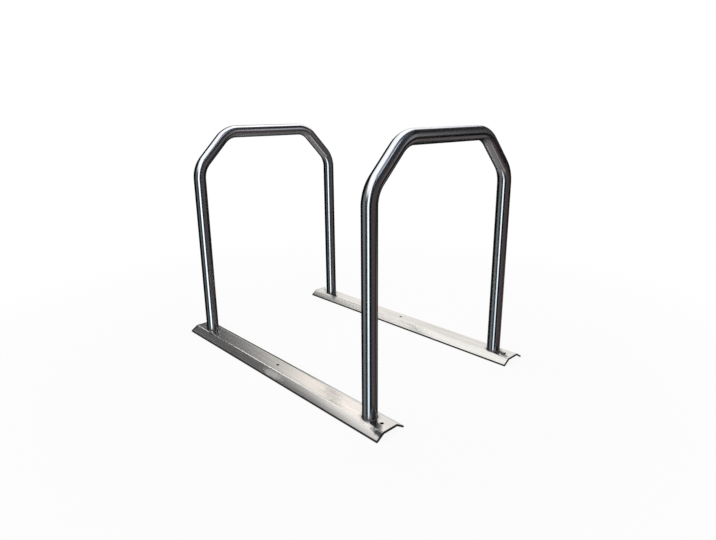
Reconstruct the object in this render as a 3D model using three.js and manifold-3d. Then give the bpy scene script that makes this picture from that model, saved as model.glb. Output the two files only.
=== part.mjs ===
// Hoop bike rack
//
// Two hoops of round stainless tube stand across two folded base rails. Each hoop is one length
// of tube with four bends: two legs, two sloping shoulders and a level crown bar. Each rail is a
// strip of plate folded into a shallow upturned channel. It stands on the ground edges of its two
// flanges, and three plain holes in its flat top take ground anchors. A small fillet weld runs all
// the way round each leg where it meets a rail.
//
// Sizes are in millimetres. X runs across the rack from rail to rail, Y runs along the rails and
// Z is up. The origin is on the ground, in the middle of the rack.

import * as THREE from 'three';
import { mergeVertices } from 'three/addons/utils/BufferGeometryUtils.js';
import Module from 'manifold-3d';

// Hoop sizes
const TUBE_DIAMETER = 48.3;
const TUBE_WALL = 3;
const HOOP_SPAN = 677; // leg centre to leg centre
const CROWN_HEIGHT = 843.5; // ground to the crown bar's centre line
const SHOULDER_RUN = 136.5; // how far a shoulder comes in from its leg
const SHOULDER_DROP = 138.5; // how far it falls below the crown bar
const BEND_RADIUS = 101; // to the tube's centre line
const HOOP_SPACING = 954; // centre to centre, along the rails

// Rail sizes
const PLATE_THICKNESS = 6;
const RAIL_TOP_WIDTH = 60; // between the corners that the two folds round off
const RAIL_HEIGHT = 22;
const RAIL_OVERHANG = 86.5; // past the centre of the leg at each end
const FOLD_INNER_RADIUS = 5;
const FLANGE_ANGLE = THREE.MathUtils.degToRad(32); // below the level
const GROUND_EDGE_WIDTH = 1.5; // the flange's lower corner is ground flat to stand on
const HOLE_DIAMETER = 11;
const END_HOLE_FROM_LEG = 51;

// Weld sizes
const WELD_LEG = 2.5; // up the tube and out along the rail
const WELD_CROWN_SHARE = 0.12; // how far the bead's face swells, as a share of its leg

// Clearance between pieces that seat on each other, and how far a cutter runs past the metal
const SEAT_GAP = 0.3;
const CUT_OVERRUN = 4;

// Facets
const TUBE_SIDES = 36;
const BORE_SIDES = 20;
const BEND_STEPS = 8;
const FOLD_DIVISIONS = 3;
const HOLE_SIDES = 24;
const WELD_SIDES = 40;
const WELD_FACE_STEPS = 4;

// Sizes that follow from the ones above
const TUBE_RADIUS = TUBE_DIAMETER / 2;
const RAIL_LENGTH = HOOP_SPACING + 2 * RAIL_OVERHANG;
const LEG_FOOT_HEIGHT = RAIL_HEIGHT + SEAT_GAP;

// Finishes
const TUBE_FINISH = { color: 0x5b5e62, roughness: 0.25, metalness: 1 };
const RAIL_FINISH = { color: 0xd6d1cb, roughness: 0.42, metalness: 0.9 };
const WELD_FINISH = { color: 0x6a6763, roughness: 0.5, metalness: 0.9 };

const wasm = await Module();
wasm.setup();

// Solids to join and cut
function toSolid(geometry) {
  const bare = geometry.index ? geometry.toNonIndexed() : geometry.clone();
  bare.deleteAttribute('normal');
  bare.deleteAttribute('uv');
  const welded = mergeVertices(bare);
  return new wasm.Manifold(new wasm.Mesh({
    numProp: 3,
    vertProperties: Float32Array.from(welded.attributes.position.array),
    triVerts: Uint32Array.from(welded.index.array),
  }));
}

function toGeometry(solid) {
  const mesh = solid.getMesh();
  const geometry = new THREE.BufferGeometry();
  geometry.setAttribute('position', new THREE.BufferAttribute(mesh.vertProperties, 3));
  geometry.setIndex(new THREE.BufferAttribute(mesh.triVerts, 1));
  geometry.computeVertexNormals();
  return geometry;
}

function namedMesh(name, geometry, finish) {
  const mesh = new THREE.Mesh(geometry, new THREE.MeshStandardMaterial(finish));
  mesh.name = name;
  return mesh;
}

// A regular polygon on a circle, for the two walls of a tube
function circlePoints(radius, sides) {
  return Array.from({ length: sides }, (_, i) => {
    const angle = (2 * Math.PI * i) / sides;
    return new THREE.Vector2(radius * Math.cos(angle), radius * Math.sin(angle));
  });
}

// The hoop's centre line in the XZ plane. Its straight runs are single steps and each bend is an
// arc of BEND_STEPS steps, so the stations are set here and not spread evenly along the length.
class HoopLine extends THREE.Curve {
  constructor() {
    super();
    const leg = HOOP_SPAN / 2;
    const shoulderFoot = CROWN_HEIGHT - SHOULDER_DROP;
    const corners = [
      new THREE.Vector3(-leg, 0, LEG_FOOT_HEIGHT),
      new THREE.Vector3(-leg, 0, shoulderFoot),
      new THREE.Vector3(-leg + SHOULDER_RUN, 0, CROWN_HEIGHT),
      new THREE.Vector3(leg - SHOULDER_RUN, 0, CROWN_HEIGHT),
      new THREE.Vector3(leg, 0, shoulderFoot),
      new THREE.Vector3(leg, 0, LEG_FOOT_HEIGHT),
    ];
    const directions = corners.slice(1).map((corner, i) => corner.clone().sub(corners[i]).normalize());
    this.stations = [{ point: corners[0], tangent: directions[0] }];
    for (let i = 1; i < directions.length; i += 1) {
      this.addBend(corners[i], directions[i - 1], directions[i]);
    }
    this.stations.push({ point: corners.at(-1), tangent: directions.at(-1) });
  }

  // An arc that touches both straight runs at a corner
  addBend(corner, before, after) {
    const turn = before.angleTo(after);
    const axis = before.clone().cross(after).normalize();
    const start = corner.clone().addScaledVector(before, -BEND_RADIUS * Math.tan(turn / 2));
    const inward = axis.clone().cross(before);
    const centre = start.clone().addScaledVector(inward, BEND_RADIUS);
    for (let step = 0; step <= BEND_STEPS; step += 1) {
      const angle = (turn * step) / BEND_STEPS;
      const arm = start.clone().sub(centre).applyAxisAngle(axis, angle);
      this.stations.push({ point: arm.add(centre), tangent: before.clone().applyAxisAngle(axis, angle) });
    }
  }

  get steps() {
    return this.stations.length - 1;
  }

  stationAt(share) {
    return this.stations[Math.round(share * this.steps)];
  }

  getPointAt(share, target = new THREE.Vector3()) {
    return target.copy(this.stationAt(share).point);
  }

  getTangentAt(share, target = new THREE.Vector3()) {
    return target.copy(this.stationAt(share).tangent);
  }
}

// One bent tube, open at both feet, where the rails close it
function hoopGeometry() {
  const section = new THREE.Shape(circlePoints(TUBE_RADIUS, TUBE_SIDES));
  section.holes.push(new THREE.Path(circlePoints(TUBE_RADIUS - TUBE_WALL, BORE_SIDES)));
  const line = new HoopLine();
  return new THREE.ExtrudeGeometry(section, { extrudePath: line, steps: line.steps, bevelEnabled: false });
}

// The places that set the rail's section. Both walls of a fold turn about one centre.
function railSection() {
  const outerRadius = FOLD_INNER_RADIUS + PLATE_THICKNESS;
  const slope = Math.tan(FLANGE_ANGLE);
  const foldX = RAIL_TOP_WIDTH / 2 - outerRadius * Math.tan(FLANGE_ANGLE / 2);
  const groundOff = GROUND_EDGE_WIDTH / (slope + 1 / slope);
  const lipHeight = PLATE_THICKNESS * Math.cos(FLANGE_ANGLE) - groundOff;
  const lipX = RAIL_TOP_WIDTH / 2 + (RAIL_HEIGHT - lipHeight) / slope;
  const edgeX = lipX - lipHeight * slope;
  return { outerRadius, slope, foldX, foldZ: RAIL_HEIGHT - outerRadius, lipX, lipHeight, edgeX };
}

// Plate folded twice, with each flange's edge cut square and its lower corner ground level
function railOutline() {
  const { outerRadius, foldX, foldZ, lipX, lipHeight, edgeX } = railSection();
  const up = Math.PI / 2;
  const right = up - FLANGE_ANGLE;
  const left = up + FLANGE_ANGLE;
  const outline = new THREE.Shape();
  outline.moveTo(foldX, RAIL_HEIGHT);
  outline.absarc(foldX, foldZ, outerRadius, up, right, true);
  outline.lineTo(lipX, lipHeight);
  outline.lineTo(edgeX, 0);
  outline.lineTo(edgeX - GROUND_EDGE_WIDTH, 0);
  outline.absarc(foldX, foldZ, FOLD_INNER_RADIUS, right, up, false);
  outline.absarc(-foldX, foldZ, FOLD_INNER_RADIUS, up, left, false);
  outline.lineTo(GROUND_EDGE_WIDTH - edgeX, 0);
  outline.lineTo(-edgeX, 0);
  outline.lineTo(-lipX, lipHeight);
  outline.absarc(-foldX, foldZ, outerRadius, left, up, true);
  return outline;
}

// The rail's upper face, raised by the seat gap and filled down to the ground: what a weld is cut by
function railCoverOutline() {
  const { outerRadius, slope, foldX, foldZ, lipX } = railSection();
  const up = Math.PI / 2;
  const radius = outerRadius + SEAT_GAP;
  const endX = foldX + radius * Math.sin(FLANGE_ANGLE) + (lipX - foldX);
  const endZ = foldZ + radius * Math.cos(FLANGE_ANGLE) - (lipX - foldX) * slope;
  const outline = new THREE.Shape();
  outline.moveTo(foldX, foldZ + radius);
  outline.absarc(foldX, foldZ, radius, up, up - FLANGE_ANGLE, true);
  outline.lineTo(endX, endZ);
  outline.lineTo(-endX, endZ);
  outline.absarc(-foldX, foldZ, radius, up + FLANGE_ANGLE, up, true);
  return outline;
}

// A section drawn in X and Z, drawn out along Y about the middle
function drawAlongY(outline, length) {
  const geometry = new THREE.ExtrudeGeometry(outline, {
    depth: length,
    curveSegments: FOLD_DIVISIONS,
    bevelEnabled: false,
  });
  return geometry.rotateX(Math.PI / 2).translate(0, length / 2, 0);
}

// A folded rail with an anchor hole in the middle and one outside each leg
function railGeometry() {
  const drill = new THREE.CylinderGeometry(
    HOLE_DIAMETER / 2, HOLE_DIAMETER / 2, PLATE_THICKNESS + 2 * CUT_OVERRUN, HOLE_SIDES);
  drill.rotateX(Math.PI / 2).translate(0, 0, RAIL_HEIGHT - PLATE_THICKNESS / 2);
  const endHole = HOOP_SPACING / 2 + END_HOLE_FROM_LEG;
  const cutter = toSolid(drill);
  const plate = toSolid(drawAlongY(railOutline(), RAIL_LENGTH));
  const drilled = [-endHole, 0, endHole].reduce(
    (solid, y) => solid.subtract(cutter.translate([0, y, 0])), plate);
  return toGeometry(drilled);
}

// A fillet bead round one leg. Its swollen face runs from the tube down to its toe on the rail.
// The ring starts below the rail's top and is cut to the rail's upper face, so it still seats if it
// reaches past the flat top on to the folds.
function weldGeometry() {
  const bore = TUBE_RADIUS + SEAT_GAP;
  const rise = WELD_LEG - SEAT_GAP;
  const swell = WELD_CROWN_SHARE * WELD_LEG;
  const profile = [
    new THREE.Vector2(bore, RAIL_HEIGHT - CUT_OVERRUN),
    new THREE.Vector2(TUBE_RADIUS + WELD_LEG + CUT_OVERRUN, RAIL_HEIGHT - CUT_OVERRUN),
  ];
  for (let step = 0; step <= WELD_FACE_STEPS; step += 1) {
    const share = step / WELD_FACE_STEPS;
    const proud = swell * Math.sin(Math.PI * share) * Math.SQRT1_2;
    profile.push(new THREE.Vector2(
      TUBE_RADIUS + WELD_LEG - share * rise + proud,
      RAIL_HEIGHT + share * rise + proud,
    ));
  }
  profile.push(profile[0].clone());
  const ring = new THREE.LatheGeometry(profile, WELD_SIDES).rotateX(Math.PI / 2);
  const cover = drawAlongY(railCoverOutline(), 2 * (TUBE_DIAMETER + WELD_LEG));
  return toGeometry(toSolid(ring).subtract(toSolid(cover)));
}

// Assembly: hoops across the rack, rails along it, and a weld at each of the four feet
const rack = new THREE.Group();
const ends = [['front', -HOOP_SPACING / 2], ['rear', HOOP_SPACING / 2]];
const sides = [['left', -HOOP_SPAN / 2], ['right', HOOP_SPAN / 2]];

for (const [side, x] of sides) {
  const rail = namedMesh(`base_rail_${side}`, railGeometry(), RAIL_FINISH);
  rail.position.x = x;
  rack.add(rail);
}

for (const [end, y] of ends) {
  const frame = new THREE.Group();
  frame.position.y = y;
  frame.add(namedMesh(`hoop_${end}`, hoopGeometry(), TUBE_FINISH));
  for (const [side, x] of sides) {
    const weld = namedMesh(`weld_${end}_${side}`, weldGeometry(), WELD_FINISH);
    weld.position.x = x;
    frame.add(weld);
  }
  rack.add(frame);
}

export default rack;
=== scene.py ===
"""Hoop bike rack: two bent tube hoops welded across two folded base rails.

The hoops are dark polished stainless tube, the rails pale satin plate whose cut edges are painted near
black, as dark cut metal and painted shade, and each foot has a rippled weld bead. All lengths are in
metres. X runs across the rack, Y along the rails and Z up, with the origin on the ground in the middle of
the rack.
"""

import math

import bmesh
import bpy
import numpy as np
from mathutils import Matrix, Vector


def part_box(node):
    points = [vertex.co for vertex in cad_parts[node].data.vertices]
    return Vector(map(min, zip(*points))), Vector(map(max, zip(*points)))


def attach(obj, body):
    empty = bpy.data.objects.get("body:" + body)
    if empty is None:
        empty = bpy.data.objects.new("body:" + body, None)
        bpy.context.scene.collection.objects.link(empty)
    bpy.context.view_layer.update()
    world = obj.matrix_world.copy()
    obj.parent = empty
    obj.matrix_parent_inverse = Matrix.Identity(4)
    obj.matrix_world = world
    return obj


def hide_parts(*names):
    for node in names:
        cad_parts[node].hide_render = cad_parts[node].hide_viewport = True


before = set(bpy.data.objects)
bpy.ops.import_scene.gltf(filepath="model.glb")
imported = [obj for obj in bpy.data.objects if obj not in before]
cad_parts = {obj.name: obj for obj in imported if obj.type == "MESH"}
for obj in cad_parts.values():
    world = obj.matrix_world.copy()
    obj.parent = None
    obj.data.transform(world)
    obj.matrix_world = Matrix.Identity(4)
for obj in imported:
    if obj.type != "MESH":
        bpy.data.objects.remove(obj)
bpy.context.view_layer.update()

MM = 0.001

# Sizes read off the CAD parts in model.glb
HOOP_LOW, HOOP_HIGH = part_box("hoop_front")
REAR_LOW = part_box("hoop_rear")[0]
RAIL_LOW, RAIL_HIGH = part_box("base_rail_left")
TUBE_RADIUS = (HOOP_HIGH.y - HOOP_LOW.y) / 2
HOOP_SPAN = HOOP_HIGH.x - HOOP_LOW.x - 2 * TUBE_RADIUS
CROWN_HEIGHT = HOOP_HIGH.z - TUBE_RADIUS
HOOP_SPACING = REAR_LOW.y - HOOP_LOW.y
RAIL_LENGTH = RAIL_HIGH.y - RAIL_LOW.y
RAIL_HEIGHT = RAIL_HIGH.z
RAIL_HALF_WIDTH = (RAIL_HIGH.x - RAIL_LOW.x) / 2

# Hoop sizes that a box doesn't give
TUBE_WALL = 3 * MM
SHOULDER_RUN = 136.5 * MM
SHOULDER_DROP = 138.5 * MM
BEND_RADIUS = 101 * MM
BEND_OVALITY = 0.018  # how much a bend flattens the tube, as a share of its radius

# Rail sizes that a box doesn't give
PLATE_THICKNESS = 6 * MM
RAIL_TOP_WIDTH = 60 * MM
FOLD_INNER_RADIUS = 5 * MM
FOLD_OUTER_RADIUS = FOLD_INNER_RADIUS + PLATE_THICKNESS
FLANGE_ANGLE = math.radians(32)
GROUND_EDGE_WIDTH = 1.5 * MM
EDGE_BREAK = 0.4 * MM  # the small round on every cut edge
HOLE_RADIUS = 5.5 * MM
END_HOLE_FROM_LEG = 51 * MM
HOLE_PATCH = 16 * MM  # half the side of the square of plate that is meshed round a hole
UNDER_HEIGHT = RAIL_HEIGHT - PLATE_THICKNESS  # how high the underside of the rail's flat top is

# Weld sizes
WELD_LEG = 2.5 * MM
WELD_FULLNESS = 0.9  # the share of it that the leg fills, ripples aside
WELD_SWELL = 0.3 * MM
WELD_SINK = 0.15 * MM  # how far the bead's hidden sides sit inside the tube and the rail
BROAD_SWELL, FINE_SWELL = 0.06, 0.05  # how much the leg varies, three and seven times round the tube
RIPPLE_DEPTH = 0.18 * MM
RIPPLE_SPREAD = 0.04  # how much a ripple widens the leg, as a share
RIPPLE_PITCH = 2 * MM
RIPPLE_CURVE = 0.55  # how far the middle of a ripple runs ahead of its ends, in pitches
RIPPLES = round(2 * math.pi * (TUBE_RADIUS + WELD_LEG / 2) / RIPPLE_PITCH)

# How finely the surfaces are divided
TUBE_SIDES = 96
RUN_STEP = 12 * MM
BEND_STEPS = 20
RAIL_STEP = 4 * MM
FOLD_STEPS = 14
BREAK_STEPS = 3
RING_STEPS = 5
WELD_COLUMNS_PER_RIPPLE = 10
WELD_FACE_ROWS = 16
WELD_BACK_ROWS = 4
MERGE_DISTANCE = 1e-6
SHARP_ANGLE = math.radians(38)

# Surfaces


def placed(name, data):
    """An object at the origin that shows its data, linked into the scene."""
    made = bpy.data.objects.new(name, data)
    bpy.context.scene.collection.objects.link(made)
    return made


def stacked(*numbers):
    """Arrays spread to one shape and stacked, as the numbers that each point has."""
    return np.stack(np.broadcast_arrays(*numbers), axis=-1)


def joined(stretches):
    """The first values of all stretches in one array, then their second values, and so on."""
    return [np.concatenate(values) for values in zip(*stretches)]


def lengths_along(points):
    """How far each point of a line lies from its first, measured along the line."""
    return np.append(0.0, np.cumsum(np.linalg.norm(np.diff(points, axis=0), axis=1)))


def in_row(numbers):
    """An array's numbers in one row, as a mesh takes them."""
    return numbers.astype(np.float32).ravel()


def sheet_faces(rows, columns):
    """Quads of a grid: each joins a point, its neighbour in the row and the two in the next row."""
    first = np.arange(rows - 1)[:, None] * columns + np.arange(columns - 1)
    return stacked(first, first + 1, first + columns + 1, first + columns)


class Skin:
    """Gathers grids of points and flat caps into one closed mesh.

    Each grid has a place for its pattern (three numbers a point), a map (two numbers a point) and a
    cut mark (one number a face, 1 where a blade or torch has cut the metal).
    """

    def __init__(self):
        self.sheets, self.faces, self.count = [], [], 0

    def add(self, sheet, corners, sizes, cuts):
        """Keeps a sheet's points, places and map, and the faces that join its points."""
        self.sheets.append([values.reshape(-1, values.shape[-1]) for values in sheet])
        self.faces.append((corners.ravel() + self.count, sizes, cuts))
        self.count += len(self.sheets[-1][0])

    def add_grid(self, points, places, maps, cut=0.0, keep=True):
        """Adds a grid of points and those of its quads that are kept."""
        rows, columns = points.shape[:2]
        chosen = np.broadcast_to(keep, (rows - 1, columns - 1))
        marks = np.broadcast_to(cut, (rows - 1, columns - 1))
        quads = sheet_faces(rows, columns)[chosen]
        self.add((points, places, maps), quads, np.full(len(quads), 4), marks[chosen])

    def add_cap(self, *sheet):
        """Adds one flat face, a cut one, with the given points round it."""
        size = len(sheet[0])
        self.add(sheet, np.arange(size), np.array([size]), np.ones(1))

    def piece(self, name, node, slot, material):
        """Makes the mesh object, joins the grids where they meet and puts it in the CAD node's place."""
        points, places, maps = joined(self.sheets)
        corners, sizes, cuts = joined(self.faces)
        mesh = bpy.data.meshes.new(name)
        mesh.vertices.add(len(points))
        mesh.vertices.foreach_set("co", in_row(points))
        mesh.loops.add(len(corners))
        mesh.loops.foreach_set("vertex_index", corners.astype(np.int32))
        mesh.polygons.add(len(sizes))
        mesh.polygons.foreach_set("loop_start", (np.cumsum(sizes) - sizes).astype(np.int32))
        mesh.update(calc_edges=True)
        mesh.uv_layers.new(name="grain_map").data.foreach_set("uv", in_row(maps[corners]))
        place = mesh.attributes.new("metal_place", "FLOAT_VECTOR", "POINT")
        place.data.foreach_set("vector", in_row(places))
        mesh.attributes.new("cut_edge", "FLOAT", "FACE").data.foreach_set("value", in_row(cuts))
        join_and_face_out(mesh)
        mesh.materials.append(material)
        made = placed(name, mesh)
        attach(made, "root")
        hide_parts(node)
        return made


def join_and_face_out(mesh):
    """Merges points that coincide, turns every face outwards and shades smoothly between sharp edges."""
    work = bmesh.new()
    work.from_mesh(mesh)
    bmesh.ops.remove_doubles(work, verts=work.verts, dist=MERGE_DISTANCE)
    bmesh.ops.recalc_face_normals(work, faces=work.faces)
    work.to_mesh(mesh)
    work.free()
    mesh.shade_smooth()
    mesh.set_sharp_from_angle(angle=SHARP_ANGLE)


# Hoops


def hoop_corners():
    """Where the centre line's straight runs would meet in XZ, from the left foot to the right foot."""
    leg = HOOP_SPAN / 2
    half = np.array([
        (leg, RAIL_HEIGHT),
        (leg, CROWN_HEIGHT - SHOULDER_DROP),
        (leg - SHOULDER_RUN, CROWN_HEIGHT),
    ])
    return np.concatenate([half * (-1, 1), half[::-1]])


def hoop_line():
    """The hoop's centre line in XZ: straight runs joined by arcs that touch both their neighbours.

    Gives, for each station, its point, its direction as an angle from +X, its length from the left
    foot, and its bend share: the sine of how far through a bend it is, and 0 on a straight run.
    """
    corners = hoop_corners()
    runs = np.diff(corners, axis=0)
    angles = np.arctan2(runs[:, 1], runs[:, 0])
    turns = np.append(np.diff(angles), 0.0)
    setbacks = BEND_RADIUS * np.tan(np.abs(turns) / 2)
    stretches = []
    start = corners[0]
    for run, angle, turn, setback, corner in zip(runs, angles, turns, setbacks, corners[1:]):
        along = run / np.linalg.norm(run)
        end = corner - along * setback
        steps = max(1, round(np.linalg.norm(end - start) / RUN_STEP))
        share = np.linspace(0, 1, steps + 1)[:-1, None]
        stretches.append((start + share * (end - start), np.full(steps, angle), np.zeros(steps)))
        if setback:
            share = np.linspace(0, 1, BEND_STEPS + 1)[:-1]
            turned = angle + turn * share
            centre = end + BEND_RADIUS * np.array([math.sin(angle), -math.cos(angle)])
            arc = centre + BEND_RADIUS * stacked(-np.sin(turned), np.cos(turned))
            stretches.append((arc, turned, np.sin(np.pi * share)))
            after = angle + turn
            start = centre + BEND_RADIUS * np.array([-math.sin(after), math.cos(after)])
    stretches.append((corners[-1:], angles[-1:], np.zeros(1)))
    points, directions, shares = joined(stretches)
    return points, directions, lengths_along(points), shares


def tube_wall(line, radius, y):
    """A circle carried square to the centre line: point = centre + radius (cos a out + sin a across).

    In a bend the circle is drawn in along the bend's plane and spread across it, as bent tube is. The
    pattern's place is where the point would lie if the tube were straight.
    """
    points, directions, lengths, shares = line
    around = np.linspace(0, 2 * math.pi, TUBE_SIDES + 1)
    drawn = radius * (1 - BEND_OVALITY * shares[:, None])
    spread = radius * (1 + BEND_OVALITY * shares[:, None] / 2)
    out = drawn * np.cos(around)
    across = spread * np.sin(around)
    x = points[:, :1] - np.sin(directions)[:, None] * out
    z = points[:, 1:] + np.cos(directions)[:, None] * out
    far = lengths[:, None]
    place = stacked(far, radius * np.cos(around), radius * np.sin(around))
    return stacked(x, y - across, z), place, stacked(far, radius * around)


def ring_between(outer, inner, row):
    """A flat ring from the outer wall's end row to the inner wall's."""
    return tuple(np.stack([a[row], b[row]]) for a, b in zip(outer, inner))


def make_hoop(name, node, y, material):
    """One bent tube with its outer wall, its bore and the two cut ends that stand on the rails."""
    line = hoop_line()
    outer = tube_wall(line, TUBE_RADIUS, y)
    bore = tube_wall(line, TUBE_RADIUS - TUBE_WALL, y)
    skin = Skin()
    skin.add_grid(*outer)
    skin.add_grid(*bore)
    for row in (0, -1):
        skin.add_grid(*ring_between(outer, bore, row), cut=1.0)
    return skin.piece(name, node, "tube_steel", material)


# Rails


def fold_x():
    """How far a fold's centre lies from the rail's middle."""
    return RAIL_TOP_WIDTH / 2 - FOLD_OUTER_RADIUS * math.tan(FLANGE_ANGLE / 2)


def rail_corners():
    """The rail's section as corners, anticlockwise seen from the front: X, Z, radius and arc steps.

    Both walls of a fold turn about one centre. A corner of radius 0 is a plain point on a flat.
    """
    slope = math.tan(FLANGE_ANGLE)
    ground_off = GROUND_EDGE_WIDTH / (slope + 1 / slope)
    lip_z = PLATE_THICKNESS * math.cos(FLANGE_ANGLE) - ground_off
    lip_x = RAIL_TOP_WIDTH / 2 + (RAIL_HEIGHT - lip_z) / slope
    edge_x = lip_x - lip_z * slope
    under_x = fold_x() + FOLD_INNER_RADIUS * math.tan(FLANGE_ANGLE / 2)
    patch = np.linspace(-HOLE_PATCH, HOLE_PATCH, round(2 * HOLE_PATCH / RAIL_STEP) + 1)
    outer = np.array([
        (edge_x, 0, EDGE_BREAK / 2, BREAK_STEPS),
        (lip_x, lip_z, EDGE_BREAK, BREAK_STEPS),
        (RAIL_TOP_WIDTH / 2, RAIL_HEIGHT, FOLD_OUTER_RADIUS, FOLD_STEPS),
    ])
    inner = np.array([
        (under_x, UNDER_HEIGHT, FOLD_INNER_RADIUS, FOLD_STEPS),
        (edge_x - GROUND_EDGE_WIDTH, 0, 0, 1),
    ])
    top = stacked(patch[::-1], RAIL_HEIGHT, 0, 1)
    under = stacked(patch, UNDER_HEIGHT, 0, 1)
    mirror = (-1, 1, 1, 1)
    return np.concatenate([outer, top, outer[::-1] * mirror, inner[::-1] * mirror, under, inner])


def rail_outline(inset):
    """The section drawn in by inset all round, with each corner as an arc that touches both its sides."""
    table = rail_corners()
    corners = table[:, :2]
    before = corners - np.roll(corners, 1, axis=0)
    before /= np.linalg.norm(before, axis=1)[:, None]
    after = np.roll(before, -1, axis=0)
    left_before = stacked(-before[:, 1], before[:, 0])
    left_after = np.roll(left_before, -1, axis=0)
    cosine = np.sum(left_before * left_after, axis=1)
    corners = corners + inset * (left_before + left_after) / (1 + cosine)[:, None]
    turn = np.arctan2(before[:, 0] * after[:, 1] - before[:, 1] * after[:, 0], cosine)
    radii = np.where(table[:, 2] > 0, np.maximum(table[:, 2] - inset * np.sign(turn), 0), 0)
    normals = left_before * np.sign(turn)[:, None]
    outline = []
    for corner, along, normal, lean, radius, steps in zip(
            corners, before, normals, np.abs(turn), radii, table[:, 3]):
        share = np.linspace(0, 1, int(steps) + 1)[:, None] if steps > 1 else np.zeros((1, 1))
        start = corner - along * radius * math.tan(lean / 2)
        angle = share * lean
        outline.append(start + radius * (np.sin(angle) * along + (1 - np.cos(angle)) * normal))
    return np.concatenate(outline)


def rail_rows():
    """Stations along the rail and its holes. Even steps fall on the edges of every hole's square."""
    end_hole = HOOP_SPACING / 2 + END_HOLE_FROM_LEG
    holes = (-end_hole, 0, end_hole)
    breaks = [RAIL_LOW.y + EDGE_BREAK]
    for hole in holes:
        breaks += [hole - HOLE_PATCH, hole + HOLE_PATCH]
    breaks.append(RAIL_HIGH.y - EDGE_BREAK)
    rows = [np.array(breaks[:1])]
    for low, high in zip(breaks, breaks[1:]):
        rows.append(np.linspace(low, high, round((high - low) / RAIL_STEP) + 1)[1:])
    return np.concatenate(rows), holes


def rail_grid(outlines, rows, middle):
    """Outlines set at their stations: point = (middle + across, station, height)."""
    closed = np.concatenate([outlines, outlines[:, :1]], axis=1)
    station = rows[:, None]
    grid = stacked(middle + closed[..., 0], station, closed[..., 1])
    return grid, grid, stacked(lengths_along(closed[0]), station)


def square_round(count, half):
    """Points evenly spaced along a square's four sides, from its far left corner, clockwise from above."""
    side = np.linspace(-half, half, count + 1)[:-1]
    end = np.full(count, half)
    x = np.concatenate([side, end, -side, -end])
    y = np.concatenate([end, -side, -end, side])
    return np.append(x, x[0]), np.append(y, y[0])


def square_faces(grid, rows, holes, middle):
    """Which faces of the rail's grid lie in a hole's square, on top or below."""
    near_middle = np.abs(grid[..., 0] - middle) < HOLE_PATCH + MERGE_DISTANCE
    on_flat = near_middle & (grid[..., 2] > UNDER_HEIGHT - MERGE_DISTANCE)
    strip = on_flat[:-1, :-1] & on_flat[:-1, 1:]
    between = (rows[:-1] + rows[1:]) / 2
    by_hole = np.min(np.abs(between[:, None] - np.array(holes)), axis=1) < HOLE_PATCH
    return strip & by_hole[:, None]


def hole_sheet(middle, hole_y):
    """The plate round one hole: from its square on top, through the drilled wall, to the square below.

    Each ring is the square blended into a circle, and the hole's two rims are broken by 45 degrees.
    """
    x, y = square_round(round(2 * HOLE_PATCH / RAIL_STEP), HOLE_PATCH)
    reach = np.hypot(x, y)
    blend = np.linspace(0, 1, RING_STEPS + 1)[:, None]
    rim = HOLE_RADIUS + EDGE_BREAK
    flat_x = x * (1 - blend) + x / reach * rim * blend
    flat_y = y * (1 - blend) + y / reach * rim * blend
    wall = np.full((2, 1), HOLE_RADIUS)
    wall_x, wall_y = x / reach * wall, y / reach * wall
    heights = np.concatenate([
        np.full(RING_STEPS + 1, RAIL_HEIGHT),
        [RAIL_HEIGHT - EDGE_BREAK, UNDER_HEIGHT + EDGE_BREAK],
        np.full(RING_STEPS + 1, UNDER_HEIGHT),
    ])
    grid_x = middle + np.concatenate([flat_x, wall_x, flat_x[::-1]])
    grid_y = hole_y + np.concatenate([flat_y, wall_y, flat_y[::-1]])
    grid = stacked(grid_x, grid_y, heights[:, None])
    rows = np.arange(len(heights) - 1)[:, None]
    cut = ((rows >= RING_STEPS) & (rows <= RING_STEPS + 2)).astype(float)
    return grid, grid, grid[..., :2], cut


def close_end(skin, end, middle):
    """Closes the rail's front (-1) or rear (1) end, by sections drawn in round the break and a cap."""
    round_off = np.linspace(0, math.pi / 2, BREAK_STEPS + 1)
    insets = EDGE_BREAK * (1 - np.cos(round_off))
    stations = end * (RAIL_LENGTH / 2 - EDGE_BREAK + EDGE_BREAK * np.sin(round_off))
    outlines = np.stack([rail_outline(inset) for inset in insets])
    sheet = rail_grid(outlines, stations, middle)
    skin.add_grid(*sheet, cut=1.0)
    skin.add_cap(*(values[-1, :-1] for values in sheet))


def make_rail(name, node, middle, material):
    """A folded rail: its section drawn along Y, rounded off at both ends, with three holes let in."""
    rows, holes = rail_rows()
    section = rail_outline(0.0)
    sheet = rail_grid(np.broadcast_to(section, (len(rows), *section.shape)), rows, middle)
    inner_edge = rail_corners()[-1, 0]
    at_lip = np.abs(section[:, 0]) > inner_edge - MERGE_DISTANCE
    cut = (at_lip & np.roll(at_lip, -1)).astype(float)
    skin = Skin()
    skin.add_grid(*sheet, cut=cut, keep=~square_faces(sheet[0], rows, holes, middle))
    for hole in holes:
        skin.add_grid(*hole_sheet(middle, hole))
    for end in (-1, 1):
        close_end(skin, end, middle)
    return skin.piece(name, node, "rail_steel", material)


# Welds


def rail_top(across):
    """Height of the rail's upper face at a distance from its middle.

    It is flat first, then the fold's arc, and then the flange's slope.
    """
    past = np.clip(np.abs(across) - fold_x(), 0, None)
    on_arc = np.minimum(past, FOLD_OUTER_RADIUS * math.sin(FLANGE_ANGLE))
    arc = RAIL_HEIGHT - FOLD_OUTER_RADIUS + np.sqrt(FOLD_OUTER_RADIUS**2 - on_arc**2)
    return arc - (past - on_arc) * math.tan(FLANGE_ANGLE)


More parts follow.
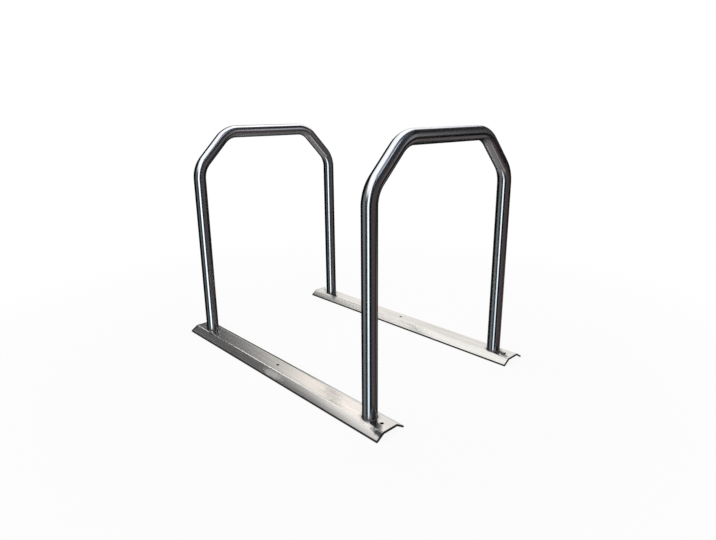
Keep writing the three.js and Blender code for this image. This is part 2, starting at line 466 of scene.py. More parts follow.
def bead_section(around, phase):
    """The bead's section at each angle round the leg: its radii, and its heights over the rail.

    It is a swollen triangle. Round the leg its face carries ripples: height = depth |sin(half the
    ripple phase)|, whose phase runs ahead in the middle of the face. The bead's two hidden sides sit
    just inside the metal.
    """
    share = np.linspace(0, 1, WELD_FACE_ROWS + 1)[:, None]
    bow = np.sin(math.pi * share)
    turn = RIPPLES * around + 2 * math.pi * RIPPLE_CURVE * bow
    ripple = np.abs(np.sin(turn / 2)) - 0.5
    uneven = 1 + BROAD_SWELL * np.sin(3 * around + phase) + FINE_SWELL * np.sin(7 * around + 2 * phase)
    proud = bow * (WELD_SWELL + RIPPLE_DEPTH * ripple)
    leg = WELD_LEG * uneven * (WELD_FULLNESS + RIPPLE_SPREAD * ripple * bow)
    rise = proud * math.sqrt(0.5)
    radius = TUBE_RADIUS + leg * (1 - share) + rise - WELD_SINK * share
    height = leg * share + rise - WELD_SINK * (1 - share)
    back = np.linspace(0, 1, WELD_BACK_ROWS + 1)[1:, None]
    inner = np.full((WELD_BACK_ROWS, len(around)), TUBE_RADIUS - WELD_SINK)
    lowered = height[-1] * (1 - back) - WELD_SINK * back
    return np.concatenate([radius, inner, radius[:1]]), np.concatenate([height, lowered, height[:1]])


def make_weld(name, node, foot_x, foot_y, phase, material):
    """A fillet bead, its section carried round a leg: point = foot + radius (cos a, sin a)."""
    around = np.linspace(0, 2 * math.pi, RIPPLES * WELD_COLUMNS_PER_RIPPLE + 1)
    radius, height = bead_section(around, phase)
    x, y = radius * np.cos(around), radius * np.sin(around)
    grid = stacked(foot_x + x, foot_y + y, rail_top(x) + height)
    girth = np.linspace(0, 2 * WELD_LEG, len(radius))[:, None]
    skin = Skin()
    skin.add_grid(grid, grid, stacked(TUBE_RADIUS * around, girth))
    return skin.piece(name, node, "weld_steel", material)


# Colours and marks of the metal, and the shade and highlight painted on the rails

ORIGIN = (0, 0, 0)
WHITE = (1, 1, 1, 1)
# Near black for the rails' cut faces and shade bands: dark cut metal and painted shade
CUT_AND_SHADOW_COLOUR = (0.02, 0.02, 0.022, 1)
CUT_ROUGHNESS = 0.6
LIP_SHADE_BAND = 2.4 * MM  # how far a painted shade band runs in over each flange from its lip
END_SHADE_BAND = 4.5 * MM  # and how far a painted shade band runs in from each end
# Temper colours, from the weld bead (0) to the end of the tint's reach (1)
HEAT_COLOURS = {
    0.0: (0.10, 0.11, 0.13),
    0.25: (0.10, 0.13, 0.22),
    0.5: (0.20, 0.13, 0.16),
    0.72: (0.42, 0.28, 0.13),
    1.0: (0.62, 0.52, 0.34),
}
# Dark patches painted on the rails: painted reflections and shade of the legs by the feet, painted shade
# over the left rail's far end, and a dark wedge on the front left flange. X, Y, half width, half length,
# lean, how much of the plate's colour it takes and its own colour
RAIL_DARK_PATCHES = {
    "dark wedge on the front left flange": (-377 * MM, -550 * MM, 8.5 * MM, 36 * MM, 0.14, 1.0, (0.075, 0.075, 0.075)),
    "left foot shade": (-355 * MM, -526 * MM, 14 * MM, 28 * MM, 0.4, 0.92, (0.09, 0.085, 0.095)),
    "right foot shade": (330 * MM, -518 * MM, 14 * MM, 38 * MM, 0.45, 1.0, (0.03, 0.03, 0.035)),
    "far foot shade": (316.5 * MM, 431 * MM, 21 * MM, 34 * MM, 0.4, 0.9, (0.1, 0.098, 0.094)),
    "left far foot shade": (-365 * MM, 432 * MM, 11 * MM, 24 * MM, 0.0, 0.85, (0.25, 0.25, 0.25)),
    "left far end shade": (-362 * MM, 557 * MM, 46 * MM, 10 * MM, 0.0, 0.8, (0.2, 0.2, 0.2)),
}
PATCH_ROUGHNESS = 0.3
# A pale matt patch painted on the left flange as a glint: X, Y, half width, half length and lean
GLINT_PATCH = (-384 * MM, -30 * MM, 12 * MM, 62 * MM, 0.0)
GLINT_PATCH_COLOUR = (0.78, 0.76, 0.73, 1)
GLINT_PATCH_MATT = 0.55  # how much of the metal's mirror look the painted glint patch takes away


# Nodes


def add_node(tree, kind, sockets=None, **settings):
    """A node with its settings made and its sockets either linked or given a value."""
    made = tree.nodes.new(kind)
    for key, value in settings.items():
        setattr(made, key, value)
    for key, value in (sockets or {}).items():
        if isinstance(value, bpy.types.NodeSocket):
            tree.links.new(value, made.inputs[key])
        else:
            made.inputs[key].default_value = value
    return made


def reckoned(tree, operation, first, second=0.0):
    """Two values put together by one sum."""
    return add_node(tree, "ShaderNodeMath", {0: first, 1: second}, operation=operation).outputs[0]


def plus(tree, first, second):
    """Two values added."""
    return reckoned(tree, "ADD", first, second)


def minus(tree, first, second):
    """The first value less the second."""
    return reckoned(tree, "SUBTRACT", first, second)


def times(tree, first, second):
    """Two values multiplied."""
    return reckoned(tree, "MULTIPLY", first, second)


def larger(tree, first, second):
    """The larger of two values."""
    return reckoned(tree, "MAXIMUM", first, second)


def unsigned(tree, value):
    """A value without its sign."""
    return reckoned(tree, "ABSOLUTE", value)


def scaled(tree, value, low, high, new_low=0.0, new_high=1.0, smooth=False):
    """A value carried from one range to another, and held at its ends."""
    sockets = {0: value, 1: low, 2: high, 3: new_low, 4: new_high}
    kind = "SMOOTHSTEP" if smooth else "LINEAR"
    return add_node(tree, "ShaderNodeMapRange", sockets, interpolation_type=kind).outputs[0]


def blended(tree, share, first, second, blend="MIX"):
    """Two colours mixed by a share."""
    sockets = {0: share, 6: first, 7: second}
    return add_node(tree, "ShaderNodeMix", sockets, data_type="RGBA", blend_type=blend).outputs[2]


def vector_sum(tree, operation, first, second=(0, 0, 0)):
    """Two vectors put together by one sum. LENGTH gives a value, and any other sum a vector."""
    made = add_node(tree, "ShaderNodeVectorMath", {0: first, 1: second}, operation=operation)
    return made.outputs["Value" if operation == "LENGTH" else "Vector"]


def parts_of(tree, vector):
    """A vector's X, Y and Z."""
    return add_node(tree, "ShaderNodeSeparateXYZ", {0: vector}).outputs


def flat_length(tree, x, y):
    """The length of a vector that has only X and Y."""
    return vector_sum(tree, "LENGTH", add_node(tree, "ShaderNodeCombineXYZ", {0: x, 1: y}).outputs[0])


def noise(tree, place, scale, **more):
    """Smooth noise between 0 and 1. More of its sockets are given by their names."""
    return add_node(tree, "ShaderNodeTexNoise", {"Vector": place, "Scale": scale, **more}).outputs[0]


def object_place(tree):
    """Where a point lies in the object's own coordinates, which are the rack's."""
    return add_node(tree, "ShaderNodeTexCoord").outputs["Object"]


def off_rail_middle(tree, x):
    """How far a point lies from the middle of the nearer rail."""
    return unsigned(tree, minus(tree, unsigned(tree, x), HOOP_SPAN / 2))


# Node groups that the materials share


def new_group(name, takes):
    """An empty shader group and its named inputs, each with a first value: a number or a vector."""
    group = bpy.data.node_groups.new(name, "ShaderNodeTree")
    for label, value in takes.items():
        kind = "NodeSocketFloat" if isinstance(value, float) else "NodeSocketVector"
        group.interface.new_socket(label, in_out="INPUT", socket_type=kind).default_value = value
    return group, group.nodes.new("NodeGroupInput").outputs


def close_group(group, results):
    """Gives the group its named outputs, each a colour or a value, and links them."""
    for label, value in results.items():
        kind = "NodeSocketColor" if value.type == "RGBA" else "NodeSocketFloat"
        group.interface.new_socket(label, in_out="OUTPUT", socket_type=kind)
    end = group.nodes.new("NodeGroupOutput")
    for label, value in results.items():
        group.links.new(value, end.inputs[label])
    return group


def grouped(tree, group, sockets):
    """The outputs of a group that is placed in a tree with its own values."""
    return add_node(tree, "ShaderNodeGroup", sockets, node_tree=group).outputs


def grain_group():
    """Drawn or brushed grain: noise stretched along one way, fine over broad."""
    group, given = new_group("metal grain", {"Place": ORIGIN, "Stretch": (1, 1, 1), "Broad Share": 0.4})
    stretched = vector_sum(group, "MULTIPLY", given["Place"], given["Stretch"])
    fine = noise(group, stretched, 1.0, Detail=4.0, Roughness=0.65)
    broad = noise(group, stretched, 0.16)
    tone = add_node(group, "ShaderNodeMix", {0: given["Broad Share"], 2: fine, 3: broad}).outputs[0]
    return close_group(group, {"Tone": tone, "Height": fine})


def patch_group():
    """Soft uneven patches, where a surface has been handled, washed or rubbed."""
    group, given = new_group("uneven patches", {
        "Place": ORIGIN, "Scale": 10.0, "Threshold": 0.5, "Softness": 0.15})
    spread = noise(group, given["Place"], given["Scale"], Detail=5.0, Roughness=0.6, Distortion=0.4)
    low = minus(group, given["Threshold"], given["Softness"])
    high = plus(group, given["Threshold"], given["Softness"])
    return close_group(group, {"Mask": scaled(group, spread, low, high, smooth=True)})


def scratch_group():
    """Sparse hair scratches: the thin lines where stretched noise crosses its middle value."""
    group, given = new_group("hair scratches", {"Place": ORIGIN, "Stretch": (1, 1, 1), "Width": 0.01})
    stretched = vector_sum(group, "MULTIPLY", given["Place"], given["Stretch"])
    off = unsigned(group, minus(group, noise(group, stretched, 1.0, Detail=1.0), 0.5))
    line = scaled(group, off, 0.0, given["Width"], 1.0, 0.0)
    here = scaled(group, noise(group, given["Place"], 14.0), 0.5, 0.62)
    return close_group(group, {"Mask": times(group, line, here)})


def heat_group():
    """Temper colours left by welding: blue-grey at the bead, then brown and straw, then clean metal.

    The distance from the leg's wall is found for all four feet at once, from the absolute X and Y.
    """
    group, given = new_group("weld heat tint", {"Place": ORIGIN, "Reach": 0.02})
    foot = (HOOP_SPAN / 2, HOOP_SPACING / 2, 0)
    mirrored = vector_sum(group, "ABSOLUTE", given["Place"])
    x, y, z = parts_of(group, vector_sum(group, "SUBTRACT", mirrored, foot))
    out = larger(group, minus(group, flat_length(group, x, y), TUBE_RADIUS + WELD_LEG), 0.0)
    up = larger(group, minus(group, z, RAIL_HEIGHT + WELD_LEG), 0.0)
    wander = scaled(group, noise(group, given["Place"], 60.0), 0.3, 0.7, 0.6, 1.4)
    far = reckoned(group, "DIVIDE", larger(group, out, up), times(group, given["Reach"], wander))
    ramp = add_node(group, "ShaderNodeValToRGB", {0: far})
    elements = ramp.color_ramp.elements
    while len(elements) < len(HEAT_COLOURS):
        elements.new(0.5)
    for element, (position, colour) in zip(elements, HEAT_COLOURS.items()):
        element.position = position
        element.color = (*colour, 1)
    mask = scaled(group, far, 0.35, 1.0, 1.0, 0.0)
    return close_group(group, {"Colour": ramp.outputs[0], "Mask": mask})


def spot_group():
    """A soft-edged oval mark at one place: its length runs along Y and leans towards +X or -X."""
    group, given = new_group("spot mark", {
        "Place": ORIGIN, "Centre": ORIGIN, "Half Width": 0.01, "Half Length": 0.03, "Lean": 0.0})
    x, y, _ = parts_of(group, vector_sum(group, "SUBTRACT", given["Place"], given["Centre"]))
    upright = minus(group, x, times(group, y, given["Lean"]))
    across = reckoned(group, "DIVIDE", upright, given["Half Width"])
    along = reckoned(group, "DIVIDE", y, given["Half Length"])
    wander = scaled(group, noise(group, given["Place"], 90.0), 0.3, 0.7, -0.2, 0.2)
    far = plus(group, flat_length(group, across, along), wander)
    return close_group(group, {"Mask": scaled(group, far, 0.4, 1.2, 1.0, 0.0, smooth=True)})


def soft_box_group():
    """A soft-edged rectangle: 1 inside it, and falling smoothly to 0 round its edges."""
    group, given = new_group("soft box", {
        "Across": 0.0, "Up": 0.0, "Half Width": 1.0, "Half Height": 1.0, "Softness": 0.1})
    windows = []
    for value, half in (("Across", "Half Width"), ("Up", "Half Height")):
        inner = minus(group, given[half], given["Softness"])
        outer = plus(group, given[half], given["Softness"])
        windows.append(scaled(group, unsigned(group, given[value]), inner, outer, 1.0, 0.0, smooth=True))
    return close_group(group, {"Mask": times(group, *windows)})


GRAIN = grain_group()
PATCHES = patch_group()
SCRATCHES = scratch_group()
HEAT = heat_group()
SPOT = spot_group()
SOFT_BOX = soft_box_group()


# Materials


def bare_material(name):
    """A material and its tree, still without nodes."""
    material = bpy.data.materials.new(name)
    material.use_nodes = True
    material.node_tree.nodes.clear()
    return material, material.node_tree


def show(tree, shader, output="ShaderNodeOutputMaterial"):
    """Links a shader to the tree's output."""
    tree.links.new(shader, tree.nodes.new(output).inputs[0])


def metal(name):
    """A material with a bare Principled shader, its tree and the shader."""
    material, tree = bare_material(name)
    shader = tree.nodes.new("ShaderNodeBsdfPrincipled")
    show(tree, shader.outputs[0])
    return material, tree, shader


def link_finish(tree, shader, colour, rough, height, depth, strength):
    """Links a metal's colour, its roughness and the bump of its fine relief."""
    bump = add_node(tree, "ShaderNodeBump", {"Height": height, "Distance": depth, "Strength": strength})
    for socket, value in (("Base Color", colour), ("Roughness", rough), ("Normal", bump.outputs[0])):
        tree.links.new(value, shader.inputs[socket])


def stretch_reflections(tree, shader, amount):
    """Stretches what the metal mirrors across its grain, which follows the piece's own map."""
    shader.inputs["Anisotropic"].default_value = amount
    tangent = add_node(tree, "ShaderNodeTangent", direction_type="UV_MAP", uv_map="grain_map")
    tree.links.new(tangent.outputs[0], shader.inputs["Tangent"])


def tube_material():
    """Dark polished stainless tube: ring-polished, so reflections stretch along it into bands.

    Its grain follows the straight tube that the hoop was bent from, as its mesh keeps it.
    """
    material, tree, shader = metal("dark polished tube")
    place = add_node(tree, "ShaderNodeAttribute", attribute_name="metal_place").outputs["Vector"]
    lines = grouped(tree, GRAIN, {"Place": place, "Stretch": (6, 420, 420)})
    rings = grouped(tree, GRAIN, {"Place": place, "Stretch": (900, 30, 30), "Broad Share": 0.5})
    patches = grouped(tree, PATCHES, {"Place": place, "Scale": 9.0, "Threshold": 0.52})["Mask"]
    marks = grouped(tree, SCRATCHES, {"Place": place, "Stretch": (30, 90, 90), "Width": 0.006})["Mask"]
    heat = grouped(tree, HEAT, {"Place": object_place(tree), "Reach": 9 * MM})
    tone = scaled(tree, lines["Tone"], 0.35, 0.65)
    steel = blended(tree, tone, (0.175, 0.18, 0.19, 1), (0.215, 0.218, 0.228, 1))
    steel = blended(tree, times(tree, patches, 0.35), steel, (0.2, 0.19, 0.187, 1))
    tint = blended(tree, 1.0, heat["Colour"], (0.5, 0.5, 0.5, 1), "MULTIPLY")
    colour = blended(tree, times(tree, heat["Mask"], 0.5), steel, tint)
    rough = scaled(tree, rings["Tone"], 0.3, 0.7, 0.15, 0.18)
    rough = plus(tree, rough, times(tree, patches, 0.02))
    rough = plus(tree, rough, times(tree, marks, 0.08))
    height = plus(tree, times(tree, lines["Height"], 0.5), times(tree, rings["Height"], 0.15))
    height = minus(tree, height, times(tree, marks, 0.2))
    link_finish(tree, shader, colour, rough, height, 0.006 * MM, 0.4)
    shader.inputs["Metallic"].default_value = 1.0
    shader.inputs["Specular Tint"].default_value = (0.4, 0.4, 0.41, 1)
    stretch_reflections(tree, shader, 0.9)
    return material


def cut_and_shade_edges(tree, body):
    """1 on the rail's cut faces, which the mesh marks, and on a painted shade band along each lip and each
    end.
    """
    x, y, _ = parts_of(tree, body)
    from_lip = minus(tree, RAIL_HALF_WIDTH, off_rail_middle(tree, x))
    from_end = minus(tree, RAIL_LENGTH / 2, unsigned(tree, y))
    lip_shade = scaled(tree, from_lip, LIP_SHADE_BAND / 2, LIP_SHADE_BAND, 1.0, 0.0)
    end_shade = scaled(tree, from_end, END_SHADE_BAND / 2, END_SHADE_BAND, 1.0, 0.0)
    marked = add_node(tree, "ShaderNodeAttribute", attribute_name="cut_edge").outputs["Fac"]
    return larger(tree, marked, larger(tree, lip_shade, end_shade))


def satin_plate(tree, body, tone):
    """The plate's colour and roughness: grain, clouds, stains, scratches and the welds' tint."""
    drawn = vector_sum(tree, "MULTIPLY", body, (1, 0.12, 1))
    clouds = grouped(tree, PATCHES, {"Place": drawn, "Scale": 45.0, "Softness": 0.2})["Mask"]
    stains = grouped(tree, PATCHES, {"Place": drawn, "Scale": 30.0, "Threshold": 0.56})["Mask"]
    marks = grouped(tree, SCRATCHES, {"Place": body, "Stretch": (160, 12, 160), "Width": 0.008})["Mask"]
    heat = grouped(tree, HEAT, {"Place": body, "Reach": 11 * MM})
    share = scaled(tree, tone, 0.32, 0.68)
    steel = blended(tree, share, (0.58, 0.555, 0.535, 1), (0.9, 0.885, 0.86, 1))
    for mask, amount, shade in (
            (clouds, 0.45, (0.84, 0.81, 0.77, 1)),
            (stains, 0.22, (0.5, 0.51, 0.5, 1)),
            (marks, 0.3, (0.5, 0.49, 0.48, 1)),
            (heat["Mask"], 0.3, heat["Colour"])):
        steel = blended(tree, times(tree, mask, amount), steel, shade)
    rough = scaled(tree, tone, 0.3, 0.7, 0.16, 0.21)
    return steel, plus(tree, rough, times(tree, clouds, 0.05))


def spot(tree, body, x, y, half_width, half_length, lean):
    """The mask of one patch on a rail, for the painted shade, the dark wedge and the painted glint."""
    return grouped(tree, SPOT, {
        "Place": body, "Centre": (x, y, 0), "Half Width": half_width, "Half Length": half_length,
        "Lean": lean})["Mask"]


def rail_material():
    """Pale satin plate: grain along the rail, painted shade, a dark wedge, a matt painted glint,
    near-black cut edges.
    """
    material, tree, shader = metal("pale satin plate")
    body = object_place(tree)
    grain = grouped(tree, GRAIN, {"Place": body, "Stretch": (620, 9, 620)})
    steel, rough = satin_plate(tree, body, grain["Tone"])
    cut = cut_and_shade_edges(tree, body)
    # Painted leg reflections and shade, painted shade at the far end, and the dark wedge
    for *place, strength, shade in RAIL_DARK_PATCHES.values():
        mark = spot(tree, body, *place)
        steel = blended(tree, times(tree, mark, strength), steel, (*shade, 1))
        rough = larger(tree, rough, times(tree, mark, PATCH_ROUGHNESS))
    # The painted glint: a pale matt patch, kept off the cut edges
    glint_patch = times(tree, spot(tree, body, *GLINT_PATCH), minus(tree, 1.0, cut))
    steel = blended(tree, times(tree, glint_patch, GLINT_PATCH_MATT), steel, GLINT_PATCH_COLOUR)
    tree.links.new(scaled(tree, glint_patch, 0.0, 1.0, 1.0, 1.0 - GLINT_PATCH_MATT), shader.inputs["Metallic"])
    # Cut faces and the lip and end bands take the near-black colour: dark cut metal and painted shade
    colour = blended(tree, cut, steel, CUT_AND_SHADOW_COLOUR)
    rough = larger(tree, rough, times(tree, cut, CUT_ROUGHNESS))
    link_finish(tree, shader, colour, rough, grain["Height"], 0.03 * MM, 0.4)
    stretch_reflections(tree, shader, 0.4)
    return material


def weld_material():
    """Dull weld metal with a little soot."""
    material, tree, shader = metal("weld bead")
    body = object_place(tree)
    grain = grouped(tree, GRAIN, {"Place": body, "Stretch": (900, 900, 900)})
    soot = grouped(tree, PATCHES, {"Place": body, "Scale": 70.0})["Mask"]
    steel = blended(tree, grain["Tone"], (0.09, 0.086, 0.082, 1), (0.19, 0.182, 0.172, 1))
    colour = blended(tree, times(tree, soot, 0.6), steel, (0.06, 0.06, 0.06, 1))
    rough = scaled(tree, grain["Tone"], 0.3, 0.7, 0.38, 0.55)
    link_finish(tree, shader, colour, rough, grain["Height"], 0.08 * MM, 0.5)
    shader.inputs["Metallic"].default_value = 0.95
    return material


# Studio

LENS = 26.439
SENSOR = 36.0
CAMERA_PLACE = Vector((-1.33734, -1.47376, 0.90815))
CAMERA_YAW = math.radians(42.807)
CAMERA_PITCH = math.radians(15.490)
CAMERA_ROLL = math.radians(-0.735)
CAMERA_SHIFT = (0.01183, -0.01474)
SOFTBOX_PLACE = Vector((0.2, 0.3, 3.0))
SOFTBOX_SIDE = 3.0
SOFTBOX_RADIANCE = 1.45
FILL_LIGHT = 0.5  # what the world gives besides its plain white look
FLOOR_SIZE = 60.0
FLOOR_COLOUR = (0.9, 0.9, 0.9, 1)
FLOOR_CLEAR = 0.9  # how much of the floor's look is plain white and not shaded, near the rack
POOL_START, POOL_END = 0.8, 2.2  # how far from the middle the floor goes over to plain white
# Painted shadow on the floor: a contact line along each lip and dark ground under the rails
CONTACT_SHADOW_COLOUR = (0.03, 0.03, 0.03, 1)
CONTACT_SHADOW_REACH = 2 * MM  # how far the painted contact shadow where a rail meets the floor reaches out
OVERHANG = 3.5 * MM  # how far the flange's lip stands out over the line where it meets the floor
OPEN_END = 20 * MM  # how far in from a rail's end the floor under it has no painted shadow

# What the metal mirrors is painted on three domes round the rack, which only mirror rays see. A soft box
# has the azimuth of its middle from +Y towards +X, half its width, the height of its middle, half its
# height and the softness of its edges, all in degrees, and its colour. A later box covers an earlier one.
DOME_RADIUS = 5.6
DOME_GAP = 0.56  # how far each dome stands outside the one before it
DOME_SIDES = 96
HALF_TURN = 180.0
DARK_GAP = (0.013, 0.013, 0.013)
BLACK_GAP = (0.0065, 0.0065, 0.0065)
HOOP_SURROUND = (0.27, 0.25, 0.25)
HOOP_BOXES = {
    "lit floor": (0, 200, -90, 46, 10, (0.72, 0.68, 0.66)),
    "near floor": (150, 32, -50, 16, 7, (0.55, 0.52, 0.51)),
    "bright floor, near": (180, 9, -43, 8, 5, (2, 1.9, 1.9)),
    "bright floor, far": (8, 16, -63, 8, 5, (2.2, 2.2, 2.1)),
    "left wall": (-63, 15, -5, 48, 7, (0.66, 0.75, 0.73)),
    "far gap": (40, 52, -20, 22, 6, DARK_GAP),
    "wall behind": (30, 7, 4, 22, 6, (0.2, 0.2, 0.21)),
    "strip lamp behind": (43, 6, 14, 32, 3, (2.4, 2.5, 2.6)),
    "far left gap": (-18, 22, 0, 36, 6, DARK_GAP),
    "strip lamp": (-122.5, 8.8, 0, 62, 3, (5.3, 5.8, 5.9)),
    "strip lamp, low": (-122.5, 8.8, -42, 24, 6, (3.3, 3.9, 4.5)),
    "gap left of the strip": (-97, 8, -5, 50, 4, (0.039, 0.085, 0.091)),
    "gap right of the strip": (-149, 9, -10, 42, 4, (0.003, 0.008, 0.025)),
    "brown wall": (156, 14, -6, 22, 6, (0.31, 0.2, 0.18)),
    "upper right wall": (178, 24, 35, 12, 6, (0.12, 0.13, 0.16)),
    "under the crown": (110, 16, -20, 10, 4, (0.62, 0.54, 0.5)),
    "near right gap": (113, 22, 2, 9, 4, BLACK_GAP),
    "gap beside the brown wall": (137, 7, -14, 16, 3, BLACK_GAP),
    "dark floor, right": (113, 20, -37, 6, 3, BLACK_GAP),
    "gap beyond the ceiling": (0, 32, 36, 12, 4, DARK_GAP),
    "near right wall": (141, 6, 20, 11, 4, (1.3, 1.3, 1.4)),
    "gap under the ceiling": (120, 22, 47, 10, 5, (0.039, 0.039, 0.039)),
}
# What the rear hoop mirrors otherwise, as it stands nearer to other walls
REAR_CHANGES = {
    "bright floor, near": (177, 8, -43, 8, 4, (4.8, 4.7, 4.6)),
    "left wall": (-78, 13, -5, 48, 7, (0.36, 0.42, 0.42)),
    "far left gap": (-27, 31, 0, 36, 6, DARK_GAP),
    "strip lamp": (-125, 12.5, 5, 55, 3, (5.8, 6.2, 6.3)),
    "strip lamp, low": (-128, 13.5, -34, 16, 6, (5.0, 5.6, 6.0)),
    "brown wall": (152, 18, -6, 22, 6, (0.33, 0.27, 0.26)),
    "under the crown": (112, 20, -34, 10, 5, (0.5, 0.47, 0.45)),
    "near right gap": (113, 17, -9, 12, 5, BLACK_GAP),
    "gap beside the brown wall": (128, 5, -8, 10, 4, BLACK_GAP),
    "dark floor, right": (108, 14, -18, 6, 4, BLACK_GAP),
    "near right wall": (141, 7, 22, 11, 4, (2.3, 2.3, 2.5)),
}
REAR_BOXES = {**HOOP_BOXES, **REAR_CHANGES}
# A ceiling panel has the X of its middle, half its width, the Y of its middle, half its length and the
# softness of its edges, all as shares of the ceiling's height, and its colour
CEILING_SKEW = 0.3  # how far a panel's Y shifts for each step in X
CEILING_PANELS = {
    "apron": (-0.04, 0.34, -0.42, 0.28, 0.05, (0.23, 0.33, 0.49)),
    "near panel": (-1.2, 0.8, -0.12, 0.34, 0.05, (4.8, 4.8, 4.7)),
    "panel": (-0.2, 1.8, 0.3, 0.47, 0.06, (4.9, 4.9, 4.9)),
    "right end": (1.05, 0.8, 0.33, 0.34, 0.05, (7.2, 7.2, 7.1)),
    "streak": (-0.2, 0.16, -0.64, 0.09, 0.04, (3.4, 3.8, 4.3)),
}
HORIZON = 0.1  # how steeply a direction rises before it meets the ceiling, as the sine of its angle
RAIL_SURROUND = (1.17, 1.17, 1.16)
RAIL_BOXES = {
    "floor": (0, 200, -60, 48, 10, (0.75, 0.75, 0.75)),
    "far wall": (58, 34, 14, 14, 5, (0.97, 0.96, 0.95)),
    "warm wall": (40, 7, 33, 8, 4, (1.42, 1.33, 1.25)),
    "end of the warm wall": (52, 6, 33, 8, 4, (0.95, 0.93, 0.92)),
    "far left screen": (-14, 45, 6, 38, 8, (0.125, 0.125, 0.13)),
    "low far screen": (10, 34, -20, 20, 6, (0.04, 0.04, 0.04)),
    "slit in the screen": (9, 5, 40, 12, 3, (2.6, 2.6, 2.6)),
    "near wall": (158, 30, 30, 28, 8, (0.14, 0.14, 0.17)),
}


def make_camera():
    """The photograph's camera: yaw from +Y towards +X, pitch down, then roll about the line of sight."""
    forward = Vector((
        math.sin(CAMERA_YAW) * math.cos(CAMERA_PITCH),
        math.cos(CAMERA_YAW) * math.cos(CAMERA_PITCH),
        -math.sin(CAMERA_PITCH),
    ))
    level = Vector((math.cos(CAMERA_YAW), -math.sin(CAMERA_YAW), 0))
    up = level.cross(forward)
    right = math.cos(CAMERA_ROLL) * level + math.sin(CAMERA_ROLL) * up
    top = math.cos(CAMERA_ROLL) * up - math.sin(CAMERA_ROLL) * level
    data = bpy.data.cameras.new("camera")
    data.lens, data.sensor_width = LENS, SENSOR
    data.shift_x, data.shift_y = CAMERA_SHIFT
    camera = placed("camera", data)
    camera.matrix_world = Matrix((right, top, -forward)).transposed().to_4x4()
    camera.location = CAMERA_PLACE
    bpy.context.scene.camera = camera


def make_softbox():
    """A flat square lamp overhead, aimed at the middle of the ground, which the metal doesn't mirror."""
    data = bpy.data.lights.new("overhead softbox", "AREA")
    data.shape = "SQUARE"
    data.size = SOFTBOX_SIDE
    data.energy = SOFTBOX_RADIANCE * SOFTBOX_SIDE**2 * math.pi
    lamp = placed("overhead softbox", data)
    lamp.location = SOFTBOX_PLACE
    lamp.rotation_mode = "QUATERNION"
    lamp.rotation_quaternion = (-SOFTBOX_PLACE).to_track_quat("-Z", "Y")
    lamp.visible_camera = lamp.visible_glossy = False


def seen_directly(tree):
    """1 for rays from the camera, from a mirror-like surface or through glass, and 0 for the rest."""
    path = add_node(tree, "ShaderNodeLightPath").outputs
    either = larger(tree, path["Is Camera Ray"], path["Is Glossy Ray"])
    return larger(tree, either, path["Is Transmission Ray"])


def make_world():
    """A plain white surround that fills the shade softly."""
    world = bpy.data.worlds.new("studio")
    bpy.context.scene.world = world
    world.use_nodes = True
    tree = world.node_tree
    tree.nodes.clear()
    strength = scaled(tree, seen_directly(tree), 0.0, 1.0, FILL_LIGHT, 1.0)
    sky = add_node(tree, "ShaderNodeBackground", {0: WHITE, 1: strength})
    show(tree, sky.outputs[0], "ShaderNodeOutputWorld")


def floor_painted_shadow(tree, place):
    """Painted shadow on the floor: 1 under the rails and in a thin line along each rail's lip, but not
    inside its open ends.
    """
    x, y, _ = parts_of(tree, place)
    out_x = minus(tree, off_rail_middle(tree, x), RAIL_HALF_WIDTH)
    out_y = minus(tree, unsigned(tree, y), RAIL_LENGTH / 2)
    past_lip = larger(tree, out_x, minus(tree, -OVERHANG, out_x))
    line = scaled(tree, past_lip, 0.0, CONTACT_SHADOW_REACH, 1.0, 0.0)
    line = times(tree, line, reckoned(tree, "LESS_THAN", out_y, 0.0))
    outside = larger(tree, out_x, plus(tree, out_y, OPEN_END))
    shadow_under = minus(tree, 1.0, reckoned(tree, "GREATER_THAN", outside, 0.0))
    return larger(tree, line, shadow_under)


def make_floor():
    """A pale floor that goes over to plain white away from the rack, and keeps the rack's shadow and a
    painted one.
    """
    material, tree = bare_material("pale floor")
    place = object_place(tree)
    # The painted shadow under and along the rails
    dark = floor_painted_shadow(tree, place)
    far = vector_sum(tree, "LENGTH", place)
    pool = scaled(tree, far, POOL_START, POOL_END, FLOOR_CLEAR, 1.0, smooth=True)
    share = times(tree, times(tree, pool, seen_directly(tree)), minus(tree, 1.0, dark))
    # Where the painted shadow lies, the floor's colour goes dark
    shade = blended(tree, dark, FLOOR_COLOUR, CONTACT_SHADOW_COLOUR)
    shaded = add_node(tree, "ShaderNodeBsdfDiffuse", {"Color": shade}).outputs[0]
    plain = add_node(tree, "ShaderNodeEmission", {0: WHITE, 1: 1.0}).outputs[0]
    show(tree, add_node(tree, "ShaderNodeMixShader", {0: share, 1: shaded, 2: plain}).outputs[0])
    half = FLOOR_SIZE / 2
    mesh = bpy.data.meshes.new("floor")
    mesh.from_pydata([(-half, -half, 0), (half, -half, 0), (half, half, 0), (-half, half, 0)], [],
                     [(0, 1, 2, 3)])
    mesh.materials.append(material)
    floor = placed("floor", mesh)
    floor.visible_glossy = False


def painted(tree, colour, boxes, across, up, share):
    """A colour with soft boxes mixed over it in order, each by how far a point is across and up from it.

    What lies more than half a turn across is taken the other way round. On the ceiling nothing does.
    """
    for middle, half_width, up_middle, half_height, softness, shade in boxes.values():
        off = {0: minus(tree, across, middle), 1: HALF_TURN, 2: -HALF_TURN}
        mask = grouped(tree, SOFT_BOX, {
            "Across": add_node(tree, "ShaderNodeMath", off, operation="WRAP").outputs[0],
            "Up": minus(tree, up, up_middle), "Half Width": half_width, "Half Height": half_height,
            "Softness": softness})["Mask"]
        colour = blended(tree, times(tree, mask, share), colour, (*shade, 1))
    return colour


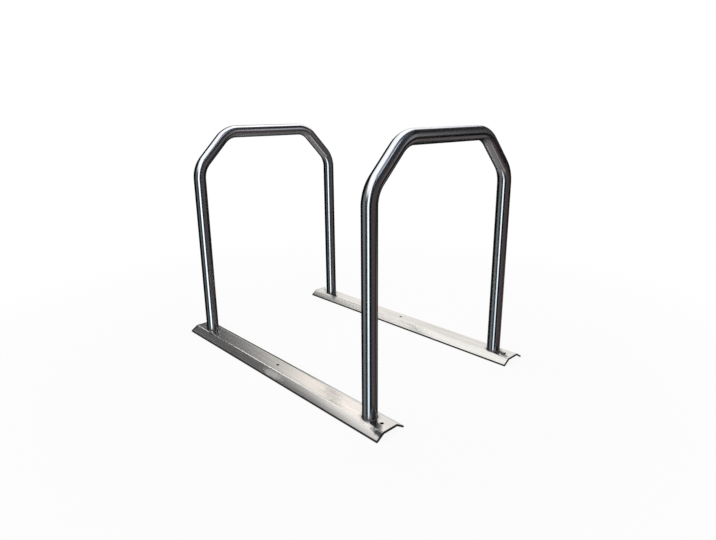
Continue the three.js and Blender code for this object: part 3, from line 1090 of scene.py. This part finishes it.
def dome_material(name, surround, boxes, panels, clear):
    """A glow painted with soft boxes. A clear one lets rays through to the domes outside it.

    The walls go by azimuth and height in degrees, and the ceiling by X and Y over its height.
    """
    material, tree = bare_material(name)
    x, y, z = parts_of(tree, vector_sum(tree, "NORMALIZE", object_place(tree)))
    azimuth = reckoned(tree, "DEGREES", reckoned(tree, "ARCTAN2", x, y))
    height = reckoned(tree, "DEGREES", reckoned(tree, "ARCSINE", z))
    colour = painted(tree, (*surround, 1), boxes, azimuth, height, 1.0)
    overhead = larger(tree, z, HORIZON)
    over_x = reckoned(tree, "DIVIDE", x, overhead)
    over_y = minus(tree, reckoned(tree, "DIVIDE", y, overhead), times(tree, over_x, CEILING_SKEW))
    above = reckoned(tree, "GREATER_THAN", z, HORIZON)
    colour = painted(tree, colour, panels, over_x, over_y, above)
    shader = add_node(tree, "ShaderNodeEmission", {0: colour, 1: 1.0}).outputs[0]
    if clear:
        through = tree.nodes.new("ShaderNodeBsdfTransparent").outputs[0]
        shader = add_node(tree, "ShaderNodeAddShader", {0: shader, 1: through}).outputs[0]
    show(tree, shader)
    material.cycles.emission_sampling = "NONE"
    return material


def make_dome(name, radius, material, pieces):
    """A dome that lights only the given pieces, and only where they mirror it."""
    work = bmesh.new()
    bmesh.ops.create_uvsphere(work, u_segments=DOME_SIDES, v_segments=DOME_SIDES // 2, radius=radius)
    mesh = bpy.data.meshes.new(name)
    work.to_mesh(mesh)
    work.free()
    mesh.materials.append(material)
    dome = placed(name, mesh)
    dome.visible_camera = dome.visible_diffuse = False
    dome.visible_shadow = dome.visible_transmission = False
    lit = bpy.data.collections.new(name)
    for piece in pieces:
        lit.objects.link(piece)
    dome.light_linking.receiver_collection = lit


# Assembly

tube_steel = tube_material()
rail_steel = rail_material()
weld_steel = weld_material()

ENDS = {"front": -HOOP_SPACING / 2, "rear": HOOP_SPACING / 2}
SIDES = {"left": -HOOP_SPAN / 2, "right": HOOP_SPAN / 2}

hoops = [make_hoop(f"{end}_hoop_tube", f"hoop_{end}", y, tube_steel) for end, y in ENDS.items()]
rails = [make_rail(f"{side}_rail_plate", f"base_rail_{side}", x, rail_steel) for side, x in SIDES.items()]
welds = []
for end, y in ENDS.items():
    for side, x in SIDES.items():
        phase = len(welds) + 1.0
        welds.append(make_weld(f"{end}_{side}_weld_bead", f"weld_{end}_{side}", x, y, phase, weld_steel))

make_camera()
make_world()
make_floor()
for index, (name, surround, boxes, panels, clear, pieces) in enumerate((
        ("front hoop studio", HOOP_SURROUND, HOOP_BOXES, CEILING_PANELS, True, hoops[:1]),
        ("rear hoop studio", HOOP_SURROUND, REAR_BOXES, CEILING_PANELS, True, hoops[1:]),
        ("rail studio", RAIL_SURROUND, RAIL_BOXES, {}, False, rails + welds))):
    material = dome_material(name, surround, boxes, panels, clear)
    make_dome(name, DOME_RADIUS + index * DOME_GAP, material, pieces)
make_softbox()

bpy.context.scene.view_settings.view_transform = "Standard"
